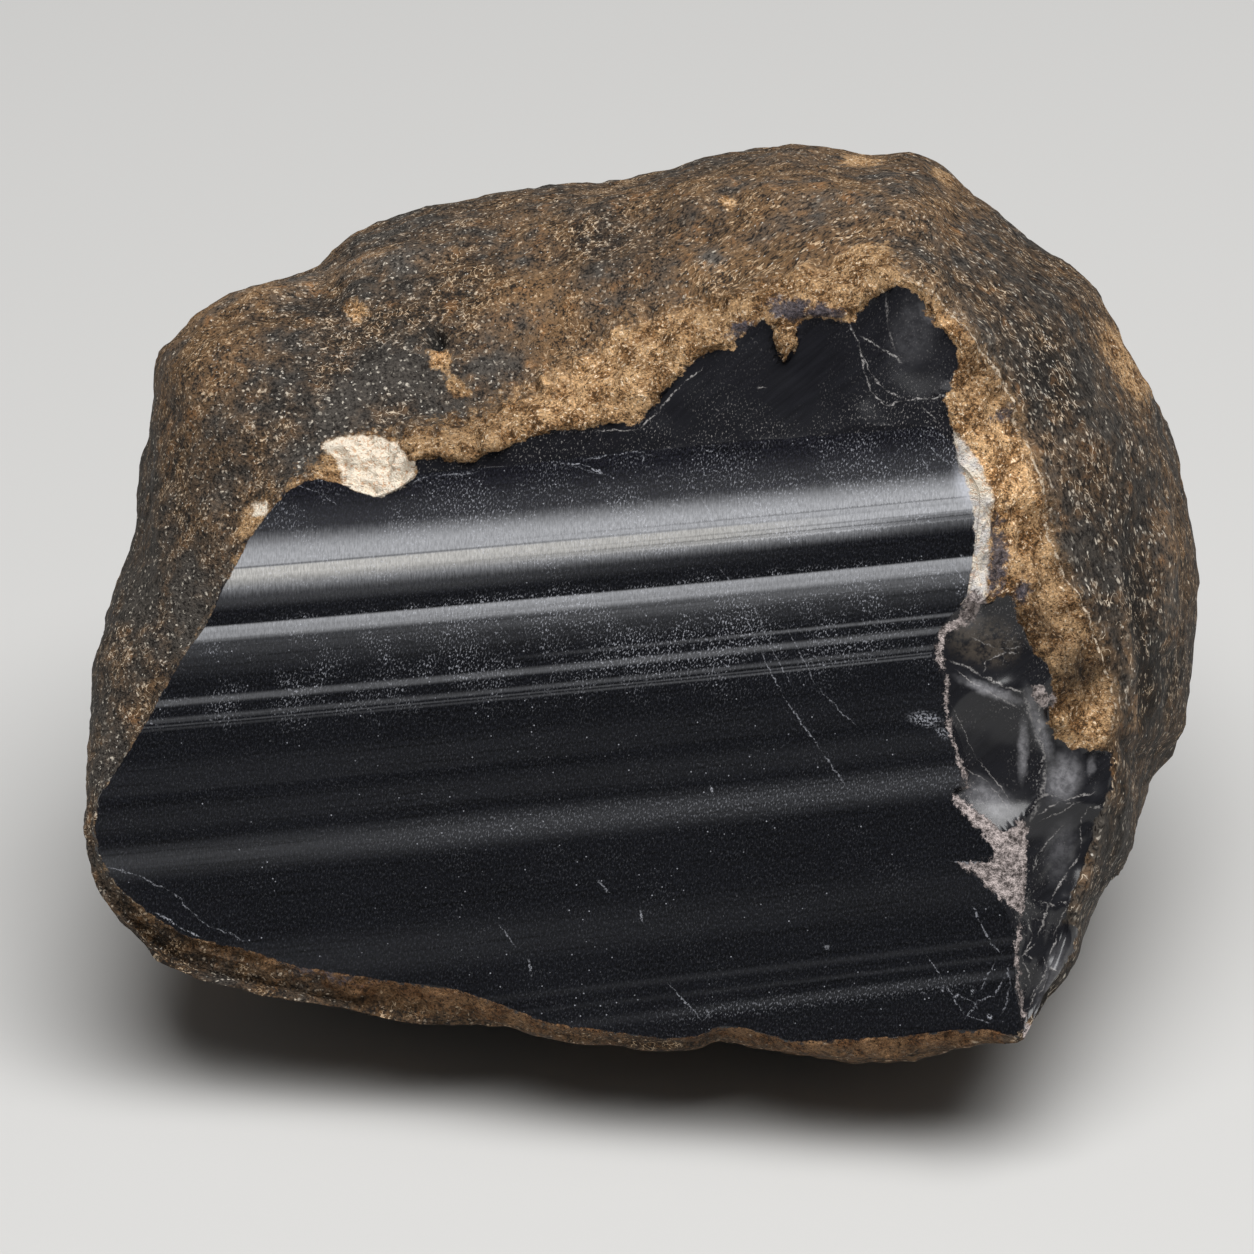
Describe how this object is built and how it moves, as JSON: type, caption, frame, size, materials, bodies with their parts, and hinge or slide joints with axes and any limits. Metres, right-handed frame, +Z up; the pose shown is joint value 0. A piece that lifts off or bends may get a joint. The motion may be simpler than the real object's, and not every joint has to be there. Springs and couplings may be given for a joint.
{
  "type": "onyx nodule",
  "caption": "Dark weathered onyx nodule with one sawn and polished face that shows pale straight bands.",
  "frame": {"origin": "middle of the stone's box, on the surface that it rests on", "axes": "+Z up, +X along the width of the cut face, +Y from the cut face to the back of the stone"},
  "size_m": [0.1152, 0.0972, 0.0862],
  "materials": {
    "banded_stone": "brown-black weathered rind with tan broken rim; black polished cut face with grey-white bands; glassy chips"
  },
  "bodies": {
    "root": {"onyx_nodule": "banded_stone"}
  },
  "joints": []
}
